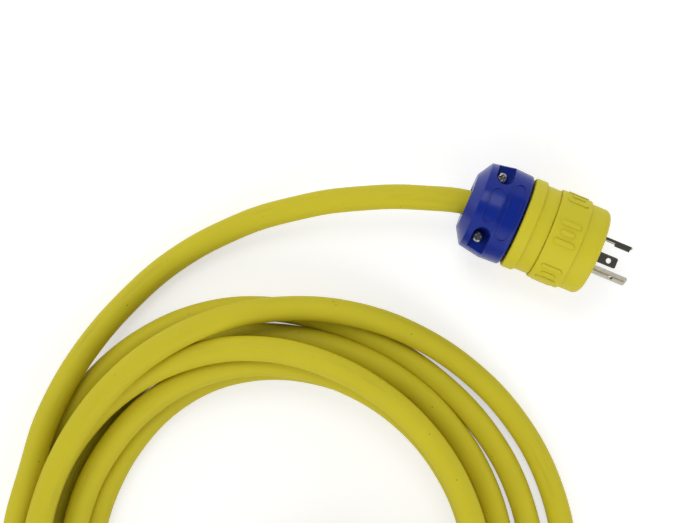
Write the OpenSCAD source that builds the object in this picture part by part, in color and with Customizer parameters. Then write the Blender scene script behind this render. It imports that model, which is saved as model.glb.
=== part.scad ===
// Shore power cord: a 30 A twist-lock plug with a two-part cord grip, a coiled
// heavy-duty jacketed cord, and a matching twist-lock connector on the far end.
// Each wiring device is drawn along X with its grip's rear face at x = 0, and
// is then laid on the ground plane z = 0.

/* [Cord] */
// Diameter of the cord's jacket
cord_d = 16.4; // [14:0.1:18]
// Diameter of one insulated conductor
conductor_d = 4.4; // [3.6:0.1:4.8]
// Diameter of the stripped strands of one conductor
strand_d = 2.8; // [2:0.1:3]
// How far each conductor lies from the middle of the jacket
conductor_offset = 4.6; // [4:0.1:5]

/* [Cord grip] */
// Length of the visible part of the grip
grip_len = 34.7; // [32:0.1:40]
// Largest diameter of the grip
grip_d = 62.8; // [60:0.1:68]
// Diameter of the grip's rear face
grip_rear_d = 37.5; // [32:0.1:44]
// Diameter at the shoulder behind the rear bevel
grip_shoulder_d = 57.6; // [52:0.1:59]
// Distance from the rear face to the shoulder
grip_shoulder_x = 6.1; // [4:0.1:8]
// Distance from the rear face to the largest diameter
grip_full_x = 20.9; // [18:0.1:26]
// How much smaller across the grip's front edge is than its largest diameter
grip_front_drop = 1.2; // [0.4:0.1:2]
// Radius of the grip's front edge
grip_edge_r = 2; // [0.5:0.1:3]
// Gap between the two halves of the grip
grip_split = 1.2; // [0.4:0.1:2]
// Diameter of the flared mouth where the cord leaves
mouth_d = 21.2; // [19:0.1:24]
// Depth of the flared mouth
mouth_depth = 12; // [8:0.5:13]
// Number of gripping teeth round the cord
tooth_count = 4; // [2:1:5]
// Distance from one gripping tooth to the next
tooth_pitch = 4; // [3:0.1:4.2]
// Width of a gripping tooth
tooth_w = 1.4; // [0.8:0.1:2]
// Diameter of the seal's recess in the front of the grip
seal_recess_d = 34; // [30:0.1:38]
// Depth of the seal's recess, measured from the grip's front edge
seal_recess_depth = 3.7; // [2:0.1:5]
// Diameter of the grip's neck that enters the shell
spigot_d = 47.2; // [44:0.1:48]
// Length of the grip's neck
spigot_len = 3.7; // [3:0.1:5]
// Diameter of the retaining lip in front of the neck
lip_d = 51.2; // [50:0.1:52]
// Width of the retaining lip
lip_w = 2.6; // [2:0.1:4]

/* [Grip screws] */
// Distance of the clamp screws from the rear face
clamp_screw_x = 14.7; // [13:0.1:17]
// Distance of each clamp screw from the cord's axis
clamp_screw_y = 20.5; // [18:0.1:22]
// Diameter of a clamp screw
clamp_screw_d = 4; // [3:0.1:4.5]
// Diameter of a clamp screw's head
clamp_head_d = 7.4; // [6:0.1:8]
// Height of a clamp screw's head
clamp_head_h = 2.8; // [2:0.1:3.5]
// Width across the flats of the square nuts
nut_w = 7; // [6:0.1:8]
// Thickness of the square nuts
nut_h = 3; // [2:0.1:4]
// Width of the screw pockets
pocket_w = 11; // [10:0.1:12]
// How far a pocket's middle lies in front of its screw
pocket_shift = 1.2; // [0:0.1:1.5]
// Height of the pockets' floors above the parting plane
pocket_floor = 9.5; // [8:0.1:12]

/* [Blank ovals on the grip] */
// Height of the raised ovals
oval_h = 0.45; // [0.2:0.05:0.6]
// Width of an oval's raised line
oval_line = 1; // [0.6:0.1:1.5]
// Distance of the small oval from the rear face
small_oval_x = 15.4; // [15:0.1:16]
// Length of the small oval across the grip
small_oval_len = 25; // [20:0.5:26]
// Width of the small oval
small_oval_w = 10; // [8:0.5:10]
// Distance of the large oval in front of the small one
large_oval_step = 12.2; // [11:0.1:13]
// Length of the large oval across the grip
large_oval_len = 40; // [34:0.5:42]
// Width of the large oval
large_oval_w = 9; // [7:0.5:10]

/* [Shell] */
// Length of the plug from the grip's rear face to its nose
body_len = 89.6; // [87:0.1:96]
// Gap between the grip and the shell
shell_gap = 1.3; // [0.5:0.1:2]
// How much smaller across the shell's rear collar is than the grip
collar_drop = 1.1; // [0.4:0.1:2]
// Length of the rear collar
collar_len = 8.7; // [7:0.1:11]
// How much smaller across the neck between collar and band is than the grip
neck_drop = 4.6; // [3.8:0.1:5.8]
// Length of the neck
neck_len = 10; // [8:0.1:13]
// How much smaller across the ribbed band is than the grip
band_drop = 1.8; // [1.6:0.1:2.8]
// Length of the ribbed band
band_len = 21; // [19:0.1:26]
// How much smaller across the nose is than the grip
nose_drop = 4.7; // [3.8:0.1:5.8]
// Radius of the nose's front edge
nose_edge_r = 4.5; // [1:0.1:5]
// Radius of the shell's other edges
shell_edge_r = 1.6; // [0.5:0.1:2]
// Width of the rear flange inside the shell
rear_flange_w = 2.2; // [1.5:0.1:3]
// Width of the front flange that holds the carrier
front_flange_w = 3; // [2:0.1:4]
// Diameter of the opening in the nose
face_opening_d = 44; // [43:0.1:46]
// Distance from the shell's rear edge to the contact carrier
carrier_seat_x = 32; // [31:0.1:36]
// Extra nose length of the connector, which takes the blades
connector_extra = 8; // [8:0.5:14]

/* [Finger ribs] */
// Number of rib groups round the band
rib_groups = 6; // [4:1:8]
// Number of ribs in each group
ribs_per_group = 3; // [2:1:4]
// Angle between two ribs of a group, in degrees
rib_pitch = 12; // [9:0.5:14]
// Direction of the first group's middle, in degrees from +Y towards +Z
rib_start = 88.5; // [80:0.5:100]
// Length of a rib
rib_len = 13.8; // [10:0.1:16]
// Length of the middle rib of a group
rib_middle_len = 9.6; // [8:0.1:16]
// Width of a rib
rib_w = 3.4; // [2:0.1:4]
// Height of a rib above the band
rib_h = 0.7; // [0.3:0.1:0.7]

/* [Carrier and blades] */
// Diameter of the contact carrier
carrier_d = 50.4; // [49:0.1:51]
// Outer radius of the circle on which the blades stand
blade_r = 13.2; // [12:0.1:14]
// Thickness of a blade
blade_t = 1.8; // [1.4:0.1:2]
// Half the arc of the hooked ground blade, in degrees
ground_half = 16; // [14:0.5:18]
// Half the arc of the two power blades, in degrees
power_half = 16; // [14:0.5:20]
// Direction of the ground blade, in degrees from +Y towards +Z
ground_dir = 0; // [-5:1:5]
// Direction of the line blade, in degrees
line_dir = 151; // [146:1:156]
// Direction of the neutral blade, in degrees
neutral_dir = 273; // [268:1:278]
// Length of the ground blade in front of the nose
ground_len = 21.8; // [20:0.1:24]
// Length of the line blade in front of the nose
line_len = 25; // [23:0.1:27]
// Length of the neutral blade in front of the nose
neutral_len = 18.3; // [17:0.1:23]
// Distance of the ground blade's locking hole from the nose
ground_hole_x = 15.8; // [13:0.1:17]
// Distance of the line blade's locking hole from the nose
line_hole_x = 14.3; // [12:0.1:18]
// Distance of the neutral blade's locking hole from the nose
neutral_hole_x = 12.4; // [10:0.1:14]
// Diameter of the locking holes
blade_hole_d = 3.5; // [2:0.1:4]
// Where the ground blade's inward hook starts, from the nose
hook_start = 9.8; // [7:0.1:12]
// Distance of the hook's inner edge from the axis
hook_inner_r = 8.8; // [7.5:0.1:9.5]
// Radius of the blades' tip corners
blade_tip_r = 1.6; // [0.5:0.1:2]
// Radius of the lead-in on the outer side of the blades' tips
blade_lead_r = 1.3; // [0.4:0.1:1.3]
// How far a mating plug turns to lock, in degrees
lock_turn = 12; // [8:1:14]

/* [Terminals] */
// Length of the terminal tails behind the carrier
tail_len = 12; // [11.5:0.1:13]
// How much wider than its blade each tail is, per side, in degrees
tail_extra = 6; // [3:0.5:8]
// Diameter of a terminal screw
terminal_screw_d = 3.5; // [3:0.1:3.8]
// Diameter of a terminal screw's head
terminal_head_d = 7; // [6:0.1:7.4]
// Height of a terminal screw's head
terminal_head_h = 2.4; // [1.5:0.1:2.8]
// Side of the square clamping plates
plate_w = 8; // [7:0.1:8.6]
// Thickness of the clamping plates
plate_t = 1.2; // [0.8:0.1:1.5]
// Thickness of the connector's spring leaves
leaf_t = 0.8; // [0.5:0.1:1]
// Length of the connector's spring leaves
leaf_len = 17; // [12:0.5:18]
// Half the arc of the spring leaves, in degrees
leaf_half = 7; // [5:0.5:7]

/* [Face screws] */
// Diameter of the screws that hold the carrier
face_screw_d = 3.5; // [3:0.1:4]
// Diameter of their heads
face_head_d = 7; // [6:0.1:7.4]
// Height of their heads
face_head_h = 2.6; // [2:0.1:3]
// Distance of the face screws from the axis
face_screw_r = 17.4; // [17:0.1:17.6]
// Outer diameter of the threaded inserts
insert_d = 5.6; // [5:0.1:6.2]
// Length of the threaded inserts
insert_len = 8; // [5:0.1:9]
// Diameter of the moulded bosses round the inserts
boss_d = 9; // [8.4:0.1:9.4]

/* [Seal] */
// Thickness of the seal's flange in front of the grip
seal_flange_t = 2.4; // [1.5:0.1:2.8]
// Diameter of the seal's flange
seal_flange_d = 44; // [40:0.1:46]

/* [Coil and rest position] */
// Middle of the coil along X
coil_x = -68.5; // [-70.5:0.5:-66.5]
// Middle of the coil along Y
coil_y = -271; // [-273:1:-269]
// Inner radius of the coil
coil_inner_r = 114; // [111:1:117]
// Outer radius of the coil
coil_outer_r = 194; // [190:1:198]
// Height of the coiled turns
coil_h = 58; // [52:1:62]

/* [Hidden] */
$fn = 72;

jacket_yellow = "#C3B935";
shell_yellow = "#C6BD37";
grip_blue = "#172673";
carrier_black = "#232427";
blade_metal = "#B9B6AD";
screw_steel = "#A6A6A2";
brass = "#B59A4C";
ground_green = "#2E7D46";
seal_black = "#1D1D1F";
copper = "#B0683A";
wire_black = "#1B1B1D";
wire_white = "#E6E4DC";
wire_green = "#2C7A3F";

cord_r = cord_d / 2;
grip_front_d = grip_d - grip_front_drop;
collar_d = grip_d - collar_drop;
neck_d = grip_d - neck_drop;
band_d = grip_d - band_drop;
nose_d = grip_d - nose_drop;

full_turn = 360;             // degrees
far = 60;                    // longer than any cut needs to reach
over = 1;                    // how far a cut or a joined piece reaches past a face
fit = 0.1;                   // clearance between fixed pieces that seat in each other
slide_fit = 0.3;             // clearance of pieces that are pushed into place
bite = 0.05;                 // clearance of the teeth and the seal on the jacket
slot_play = 0.6;             // clearance at each end of a fixed blade's slot, in degrees
turn_play = 1;               // clearance at each end of the locking turn, in degrees
leaf_play = 2;               // clearance beside a spring leaf, in degrees
leaf_room = 2;               // free length in front of a spring leaf
slot_room = 1;               // free length behind the longest blade
wire_gap = 0.4;              // gap between a cut end and the piece in front of it
boss_floor = 1.2;            // thickness of a boss behind its insert
tooth_inset = 2.6;           // distance of the first tooth from the seal's recess
screw_end = 1.2;             // how far a clamp screw stands out of its nut

// Stations along one wiring device, from the grip's rear face
seal_x = grip_len - seal_recess_depth;
lip_x = grip_len + spigot_len;
lip_end_x = lip_x + lip_w;
shell_x = grip_len + shell_gap;
neck_x = shell_x + collar_len;
band_x = neck_x + neck_len;
nose_x = band_x + band_len;
plug_face_x = body_len;
conn_face_x = plug_face_x + connector_extra;
carrier_x = shell_x + carrier_seat_x;
tail_x = carrier_x - tail_len;
cord_end_x = lip_end_x + seal_flange_t + wire_gap;
chamber_r = lip_d / 2 + slide_fit;
insert_x = carrier_x - fit - insert_len;
boss_x = insert_x - boss_floor;
blade_reach = max(ground_len, line_len, neutral_len);
slot_end_x = conn_face_x - blade_reach - slot_room;
undercut = 0.6;              // depth and width of the line behind the band
rib_root = 2;                // how deep under the band's surface the ribs start
core_r = blade_r - blade_t - slide_fit - fit;
core_seat_r = core_r + fit;

// Directions of the three poles, and of the face screws midway between them
pole_dirs = [ground_dir, line_dir, neutral_dir];
face_dirs = [
    (ground_dir + line_dir) / 2,
    (line_dir + neutral_dir) / 2,
    (neutral_dir + ground_dir + full_turn) / 2
];

// Place of a stripped conductor beside its terminal screw
strand_side = terminal_screw_d / 2 + strand_d / 2 + 2 * fit;
strand_rise = sqrt(pow(blade_r + strand_d / 2 + fit, 2) - pow(strand_side, 2));
plate_rise = strand_rise + strand_d / 2 + fit;
terminal_x = tail_x + tail_len / 2;

// Rest position of the plug and the connector
axis_z = grip_d / 2;
plug_rear_x = -(plug_face_x + blade_reach) / 2;
conn_place = [-67.5, -331, axis_z];
conn_turn = 43;

// Route of the cord from the plug to the coil
lead_route = [
    [plug_rear_x + mouth_depth, 0, axis_z], [-48.5, 0, 31.4], [-55.5, -1, 31.4], [-65.5, -3, 31.4],
    [-78.5, -7.5, 31], [-98.5, -14.5, 30], [-119.5, -24, 27], [-141.5, -35.5, 23],
    [-162.5, -49.5, 18.5], [-181.5, -64, 14.5], [-198.5, -81, 11], [-212.5, -97.5, 9],
    [-225.5, -117, 8.2], [-236.5, -140, 9], [-245.5, -165, 12], [-251.5, -190, 17],
    [-254.5, -216, 22], [-255, -243, 24.6], [-251.5, -270, 24.6]
];
// Route of the cord from the coil to the connector
tail_route = [
    [-192, -322, 8.2], [-179.5, -342, 9], [-160.5, -356.5, 11.5], [-138, -363.5, 16],
    [-114.5, -362, 21.5], [-97.5, -356, 26.5], [-83, -345.5, 30], [-70.8, -334, 31.4],
    [conn_place[0] + mouth_depth * cos(conn_turn), conn_place[1] + mouth_depth * sin(conn_turn), axis_z]
];
cord_sides = 12;
wire_sides = 10;

// A profile with rounded corners: each point is [x, radius, corner radius].
// Two corners that meet on one side share it in proportion to their radii.
function side(a, b) = [b[0] - a[0], b[1] - a[1]];
function share(p, q) = 0.95 * norm(side(p, q)) * p[2] / (p[2] + (len(q) < 3 ? 0 : q[2]));
function corner(a, p, b, steps = 5) =
    let (
        ua = side(p, a) / norm(side(p, a)),
        ub = side(p, b) / norm(side(p, b)),
        half = acos(max(-1, min(1, ua * ub))) / 2,
        run = min(p[2] / tan(half), share(p, a), share(p, b)),
        r = run * tan(half),
        middle = [p[0], p[1]] + (ua + ub) / norm(ua + ub) * (r / sin(half)),
        start = [p[0], p[1]] + ua * run - middle,
        end = [p[0], p[1]] + ub * run - middle,
        a0 = atan2(start[1], start[0]),
        turn = atan2(start[0] * end[1] - start[1] * end[0], start * end)
    )
    [for (i = [0 : steps]) middle + r * [cos(a0 + turn * i / steps), sin(a0 + turn * i / steps)]];
function rounded(points) = [
    for (i = [0 : len(points) - 1])
        let (
            n = len(points),
            p = points[i],
            sharp = len(p) < 3 || p[2] == 0
        )
        each (sharp ? [[p[0], p[1]]] : corner(points[(i + n - 1) % n], p, points[(i + 1) % n]))
];

// Turns the Z axis of what follows into the device's X axis: angle 0 is +Y, 90 is +Z
module along_x() {
    rotate([90, 0, 90]) children();
}

module turned(points) {
    along_x() rotate_extrude() polygon([for (p = rounded(points)) [p[1], p[0]]]);
}

// Part of a ring: radii r0 to r1, stations x0 to x1, angles a0 to a1
module sector(r0, r1, x0, x1, a0, a1) {
    along_x()
        translate([0, 0, x0])
            rotate([0, 0, a0])
                rotate_extrude(angle = a1 - a0)
                    translate([r0, 0]) square([r1 - r0, x1 - x0]);
}

// Stands what follows on the axis at station x, with its own Z pointing out along a direction
module outwards(x, direction) {
    translate([x, 0, 0]) rotate([direction - 90, 0, 0]) children();
}

module rod(d, x0, x1) {
    along_x() translate([0, 0, x0]) cylinder(d = d, h = x1 - x0);
}

// A rod parallel to the axis, at a distance from it and a direction. Its circle starts on
// the side that faces the axis
module rod_at(d, x0, x1, distance, direction) {
    along_x()
        rotate([0, 0, direction + 180])
            translate([-distance, 0, x0])
                cylinder(d = d, h = x1 - x0);
}

module stadium(length, width) {
    square([width, length - width], center = true);
    for (end = [-1, 1]) translate([0, end * (length - width) / 2]) circle(d = width);
}

// A tube of regular polygons swept along route points that never stand upright
function unit(v) = v / norm(v);
function heading(route, i) =
    let (last = len(route) - 1)
    unit(route[min(i + 1, last)] - route[max(i - 1, 0)]);
function ring(route, i, r, sides) =
    let (
        t = heading(route, i),
        u = unit(cross([0, 0, 1], t)),
        v = cross(t, u)
    )
    [for (k = [0 : sides - 1]) route[i] + r * (cos(360 * k / sides) * u + sin(360 * k / sides) * v)];
module swept(route, d, sides) {
    rings = len(route);
    reach = d / 2;
    points = [for (i = [0 : rings - 1]) each ring(route, i, reach, sides)];
    walls = [
        for (i = [0 : rings - 2])
            for (k = [0 : sides - 1])
                let (a = i * sides + k, b = i * sides + (k + 1) % sides)
                [a, a + sides, b + sides, b]
    ];
    caps = [
        [for (k = [0 : sides - 1]) k],
        [for (k = [sides - 1 : -1 : 0]) (rings - 1) * sides + k]
    ];
    polyhedron(points = points, faces = concat(caps, walls));
}

// ---- the two-part cord grip ----

jaw_r = cord_r + slide_fit;
tooth_r = cord_r + bite;
tooth_x = seal_x - tooth_inset;
grip_profile = concat(
    [
        [0, mouth_d / 2, 0],
        [0, grip_rear_d / 2, 0.6],
        [grip_shoulder_x, grip_shoulder_d / 2, 0.8],
        [grip_full_x, grip_d / 2, 0],
        [grip_len, grip_front_d / 2, grip_edge_r],
        [grip_len, spigot_d / 2, 0],
        [lip_x, spigot_d / 2, 0],
        [lip_x, lip_d / 2, 0.4],
        [lip_end_x, lip_d / 2, 0.8],
        [lip_end_x, seal_recess_d / 2, 0],
        [seal_x, seal_recess_d / 2, 0],
        [seal_x, jaw_r, 0]
    ],
    [
        for (i = [0 : tooth_count - 1])
            let (x = tooth_x - i * tooth_pitch)
            each [[x, jaw_r, 0], [x, tooth_r, 0], [x - tooth_w, tooth_r, 0], [x - tooth_w, jaw_r, 0]]
    ],
    [[mouth_depth, jaw_r, 0]]
);

// Skin of the grip between its shoulder and its front edge, for the raised ovals
oval_skin = [
    [grip_shoulder_x, grip_shoulder_d / 2 - over, 0],
    [grip_shoulder_x, grip_shoulder_d / 2 + oval_h, 0],
    [grip_full_x, grip_d / 2 + oval_h, 0],
    [grip_len, grip_front_d / 2 + oval_h, 0],
    [grip_len, grip_front_d / 2 - over, 0],
    [grip_full_x, grip_d / 2 - over, 0]
];

module screw_pockets() {
    for (s = [-1, 1])
        translate([clamp_screw_x + pocket_shift, s * clamp_screw_y, pocket_floor]) {
            cylinder(d = pocket_w, h = far);
            translate([-pocket_w / 2, min(0, s * far), 0]) cube([pocket_w, far, far]);
        }
}

module clamp_screw_holes() {
    for (s = [-1, 1])
        translate([clamp_screw_x, s * clamp_screw_y, -far / 2])
            cylinder(d = clamp_screw_d + 2 * fit, h = far);
}

module grip_half() {
    difference() {
        turned(grip_profile);
        translate([-over, -far, grip_split / 2 - 2 * far]) cube([2 * far, 2 * far, 2 * far]);
        screw_pockets();
        clamp_screw_holes();
    }
}

module oval_rim(x, length, width) {
    intersection() {
        turned(oval_skin);
        translate([x, 0, 0])
            linear_extrude(height = far)
                difference() {
                    stadium(length, width);
                    stadium(length - 2 * oval_line, width - 2 * oval_line);
                }
    }
}

module grip_upper() {
    color(grip_blue) {
        grip_half();
        oval_rim(small_oval_x, small_oval_len, small_oval_w);
        oval_rim(small_oval_x + large_oval_step, large_oval_len, large_oval_w);
    }
}

module grip_lower() {
    recess_w = nut_w + 2 * fit;
    color(grip_blue)
        mirror([0, 0, 1])
            difference() {
                grip_half();
                for (s = [-1, 1])
                    translate([clamp_screw_x, s * clamp_screw_y, pocket_floor - nut_h + far / 2])
                        cube([recess_w, recess_w, far], center = true);
            }
}

// Cross recess in a screw head whose top is at z = 0
module cross_recess(d) {
    recess_depth = 1.4;
    for (turn = [0, 90])
        rotate([0, 0, turn])
            translate([0, 0, -recess_depth / 2 + fit])
                cube([d * 0.62, d * 0.16, recess_depth + 2 * fit], center = true);
}

// A pan-head screw: the underside of its head at z = 0, its shank pointing down
module pan_screw(d, head_d, head_h, shank_len) {
    difference() {
        union() {
            rotate_extrude()
                polygon([
                    [0, 0], [head_d / 2, 0], [head_d / 2, head_h * 0.55],
                    [head_d * 0.44, head_h * 0.85], [head_d * 0.3, head_h], [0, head_h]
                ]);
            translate([0, 0, -shank_len]) cylinder(d = d, h = shank_len + fit);
        }
        translate([0, 0, head_h]) cross_recess(head_d);
    }
}

module grip_screws() {
    color(screw_steel)
        for (s = [-1, 1])
            translate([clamp_screw_x, s * clamp_screw_y, pocket_floor])
                pan_screw(clamp_screw_d, clamp_head_d, clamp_head_h, 2 * pocket_floor + screw_end);
}

module grip_nuts() {
    color(screw_steel)
        for (s = [-1, 1])
            translate([clamp_screw_x, s * clamp_screw_y, -pocket_floor + nut_h / 2])
                difference() {
                    cube([nut_w, nut_w, nut_h - fit], center = true);
                    cylinder(d = clamp_screw_d + fit, h = 2 * nut_h, center = true);
                }
}

module seal() {
    color(seal_black)
        turned([
            [seal_x + fit, cord_r + bite, 0],
            [seal_x + fit, seal_recess_d / 2 - fit, 0.5],
            [lip_end_x + fit, seal_recess_d / 2 - fit, 0],
            [lip_end_x + fit, seal_flange_d / 2, 0.4],
            [lip_end_x + seal_flange_t, seal_flange_d / 2, 0.8],
            [lip_end_x + seal_flange_t, cord_r + bite, 0]
        ]);
}

module cord_end() {
    color(jacket_yellow) rod(cord_d, mouth_depth, cord_end_x);
}

// ---- the shell ----

module ribs() {
    middle = band_x + band_len / 2;
    middle_rib = (ribs_per_group - 1) / 2;
    intersection() {
        turned([
            [band_x, band_d / 2 - over, 0],
            [band_x, band_d / 2 + rib_h, 0],
            [nose_x, band_d / 2 + rib_h, 0],
            [nose_x, band_d / 2 - over, 0]
        ]);
        for (g = [0 : rib_groups - 1], i = [0 : ribs_per_group - 1])
            outwards(middle, rib_start + g * full_turn / rib_groups + (i - middle_rib) * rib_pitch)
                translate([0, 0, band_d / 2 - rib_root])
                    linear_extrude(height = far)
                        rotate([0, 0, 90])
                            stadium(i == middle_rib ? rib_middle_len : rib_len, rib_w);
    }
}

module shell_profile(face_x) {
    turned([
        [shell_x, spigot_d / 2 + slide_fit, 0.5],
        [shell_x, collar_d / 2, shell_edge_r],
        [neck_x, collar_d / 2, shell_edge_r],
        [neck_x, neck_d / 2, 0],
        [band_x - undercut, neck_d / 2, 0],
        [band_x - undercut, neck_d / 2 - undercut, 0],
        [band_x, neck_d / 2 - undercut, 0],
        [band_x, band_d / 2, 0.7],
        [nose_x, band_d / 2, shell_edge_r],
        [nose_x, nose_d / 2, 0],
        [face_x, nose_d / 2, nose_edge_r],
        [face_x, face_opening_d / 2, 0.5],
        [face_x - front_flange_w, face_opening_d / 2, 0],
        [face_x - front_flange_w, carrier_d / 2 + fit, 0],
        [carrier_x, carrier_d / 2 + fit, 0],
        [carrier_x, chamber_r, 0],
        [shell_x + rear_flange_w, chamber_r, 0],
        [shell_x + rear_flange_w, spigot_d / 2 + slide_fit, 0]
    ]);
}

// Boss inside the shell, tied to the wall by a web, that holds one threaded insert
module boss(direction) {
    web_r = face_screw_r + (boss_d + insert_d) / 4;
    difference() {
        rod_at(boss_d, boss_x, carrier_x, face_screw_r, direction);
        rod_at(insert_d + 2 * fit, insert_x, carrier_x + over, face_screw_r, direction);
    }
    outwards(boss_x, direction)
        translate([0, -boss_d / 4, web_r])
            cube([insert_len, boss_d / 2, chamber_r + over - web_r]);
}

module shell(face_x, dirs) {
    color(shell_yellow)
        union() {
            shell_profile(face_x);
            ribs();
            for (direction = dirs) boss(direction);
        }
}

module inserts(dirs) {
    color(brass)
        for (direction = dirs)
            difference() {
                rod_at(insert_d, insert_x, insert_x + insert_len, face_screw_r, direction);
                rod_at(face_screw_d + fit, insert_x - over, carrier_x, face_screw_r, direction);
            }
}

module face_screws(face_x, dirs) {
    head_x = face_x - face_head_h - 2 * fit;
    color(screw_steel)
        for (direction = dirs)
            along_x()
                rotate([0, 0, direction])
                    translate([face_screw_r, 0, head_x])
                        pan_screw(face_screw_d, face_head_d, face_head_h, head_x - insert_x);
}

// ---- the contact carrier, its blades and its contacts ----

module carrier_blank(face_x, dirs) {
    boss_front_x = face_x - 2 * fit;
    difference() {
        turned([
            [carrier_x + fit, 0, 0],
            [carrier_x + fit, carrier_d / 2, 0.5],
            [face_x - front_flange_w - fit, carrier_d / 2, 0],
            [face_x - front_flange_w - fit, face_opening_d / 2 - 2 * fit, 0],
            [boss_front_x, face_opening_d / 2 - 2 * fit, 0.6],
            [boss_front_x, 0, 0]
        ]);
        for (direction = dirs) {
            rod_at(
                face_screw_d + 4 * fit, carrier_x - over, face_x + over,
                face_screw_r, direction
            );
            rod_at(
                face_head_d + 4 * fit, face_x - face_head_h - 2 * fit, face_x + over,
                face_screw_r, direction
            );
        }
    }
}

// Slot that a blade fills from the carrier's back to its face
module blade_slot(direction, half) {
    sector(blade_r - blade_t - fit, blade_r + fit, carrier_x - over, plug_face_x + over,
        direction - half - slot_play, direction + half + slot_play);
}

module plug_carrier() {
    color(carrier_black)
        difference() {
            carrier_blank(plug_face_x, face_dirs);
            blade_slot(ground_dir, ground_half);
            blade_slot(line_dir, power_half);
            blade_slot(neutral_dir, power_half);
        }
}

// A piece stamped from a turned profile, to an outline of [x, y, corner radius] seen from
// outside, with the hole of its terminal screw
module stamped(direction, profile, outline) {
    outwards(0, direction)
        difference() {
            intersection() {
                turned(profile);
                translate([0, 0, hook_inner_r / 2])
                    linear_extrude(height = far) polygon(rounded(outline));
            }
            translate([terminal_x, 0, 0]) cylinder(d = terminal_screw_d + fit, h = far);
        }
}

// Half the width of a flat cut through the blade circle that spans this half angle
function half_width(half) = blade_r * sin(half);

// A blade: its wide tail seats on the carrier's back
module blade(direction, half, length, hole_x) {
    tip_x = plug_face_x + length;
    w = half_width(half);
    tail_w = half_width(half + tail_extra);
    color(blade_metal)
        difference() {
            stamped(
                direction,
                [
                    [tail_x, blade_r - blade_t],
                    [tail_x, blade_r],
                    [tip_x, blade_r, blade_lead_r],
                    [tip_x, blade_r - blade_t, blade_t / 4]
                ],
                [
                    [tail_x, -tail_w, 1],
                    [carrier_x, -tail_w],
                    [carrier_x, -w],
                    [tip_x, -w, blade_tip_r],
                    [tip_x, w, blade_tip_r],
                    [carrier_x, w],
                    [carrier_x, tail_w],
                    [tail_x, tail_w, 1]
                ]
            );
            outwards(plug_face_x + hole_x, direction) cylinder(d = blade_hole_d, h = far);
        }
}

module line_blade() {
    blade(line_dir, power_half, line_len, line_hole_x);
}

module neutral_blade() {
    blade(neutral_dir, power_half, neutral_len, neutral_hole_x);
}

// The ground blade's hook turns in towards the axis along one edge
module ground_blade() {
    depth = cos(ground_half) * blade_r - blade_t / 2 - hook_inner_r;
    blade(ground_dir, ground_half, ground_len, ground_hole_x);
    color(blade_metal)
        outwards(plug_face_x + hook_start, ground_dir)
            translate([0, -half_width(ground_half), hook_inner_r])
                cube([ground_len - hook_start - blade_tip_r, blade_t, depth]);
}

// In a connector, which faces the plug, every direction is seen from the other side
function facing(direction) = 180 - direction;
// The spring leaves stand midway between a blade's place when inserted and when locked
function spring_dir(direction) = facing(direction) - lock_turn / 2;
conn_pole_dirs = [for (direction = pole_dirs) facing(direction)];
conn_face_dirs = [for (direction = face_dirs) facing(direction)];

// Room for a blade and its turn, for the spring leaves behind it, and for their neck. It
// starts in the gap between the core and the carrier round it
module contact_slot(direction, half) {
    middle = facing(direction);
    spring = spring_dir(direction);
    slot_r = (core_r + core_seat_r) / 2;
    sector(slot_r, blade_r + slide_fit, slot_end_x, conn_face_x + over,
        middle - half - turn_play - lock_turn, middle + half + turn_play);
    sector(blade_r - blade_t - leaf_t - slide_fit, blade_r + leaf_t + slide_fit,
        slot_end_x, slot_end_x + leaf_len + leaf_room,
        spring - leaf_half - leaf_play, spring + leaf_half + leaf_play);
    sector(slot_r, blade_r + fit, carrier_x - over, slot_end_x + over,
        spring - leaf_half - slot_play, spring + leaf_half + slot_play);
}

module contact_slots() {
    contact_slot(ground_dir, ground_half);
    contact_slot(line_dir, power_half);
    contact_slot(neutral_dir, power_half);
}

module conn_carrier() {
    color(carrier_black)
        difference() {
            carrier_blank(conn_face_x, conn_face_dirs);
            rod(2 * core_seat_r, carrier_x - over, conn_face_x + over);
            contact_slots();
        }
}

// The round core between the slots, with the groove for the ground blade's hook
module conn_core() {
    hook_edge = facing(ground_dir + ground_half);
    hook_arc = asin(blade_t / hook_inner_r);
    color(carrier_black)
        difference() {
            rod(2 * core_r, carrier_x + fit, conn_face_x - 2 * fit);
            contact_slots();
            sector(hook_inner_r - slide_fit, blade_r,
                conn_face_x - ground_len - slot_room, conn_face_x + over,
                hook_edge - turn_play - lock_turn, hook_edge + hook_arc + turn_play);
        }
}

// A pair of spring leaves on a neck, with the same tail as a blade
module contact(direction, half) {
    base_x = slot_end_x + fit;
    tip_x = base_x + leaf_len;
    inner_r = blade_r - blade_t;
    tail_w = half_width(half + tail_extra);
    leaf_low = half_width(lock_turn / 2 - leaf_half);
    leaf_high = half_width(lock_turn / 2 + leaf_half);
    color(brass)
        stamped(
            facing(direction),
            [
                [tail_x, inner_r],
                [tail_x, blade_r],
                [base_x, blade_r],
                [base_x, blade_r + leaf_t],
                [tip_x, blade_r + leaf_t],
                [tip_x, blade_r],
                [base_x + leaf_t, blade_r],
                [base_x + leaf_t, inner_r],
                [tip_x, inner_r],
                [tip_x, inner_r - leaf_t],
                [base_x, inner_r - leaf_t],
                [base_x, inner_r]
            ],
            [
                [tail_x, -tail_w, 1],
                [carrier_x, -tail_w],
                [carrier_x, leaf_low],
                [tip_x, leaf_low],
                [tip_x, leaf_high],
                [carrier_x, leaf_high],
                [carrier_x, tail_w],
                [tail_x, tail_w, 1]
            ]
        );
}

// ---- terminals and wiring ----

module pole_screw(direction, metal) {
    color(metal)
        outwards(terminal_x, direction)
            translate([0, 0, plate_rise + plate_t + fit])
                pan_screw(terminal_screw_d, terminal_head_d, terminal_head_h,
                    plate_rise + plate_t - blade_r + blade_t + 1);
}

module clamp_plates(dirs) {
    color(screw_steel)
        for (direction = dirs)
            outwards(terminal_x, direction)
                translate([0, 0, plate_rise + plate_t / 2])
                    difference() {
                        cube([plate_w, plate_w, plate_t], center = true);
                        cylinder(d = terminal_screw_d + 4 * fit, h = far, center = true);
                    }
}

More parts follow.
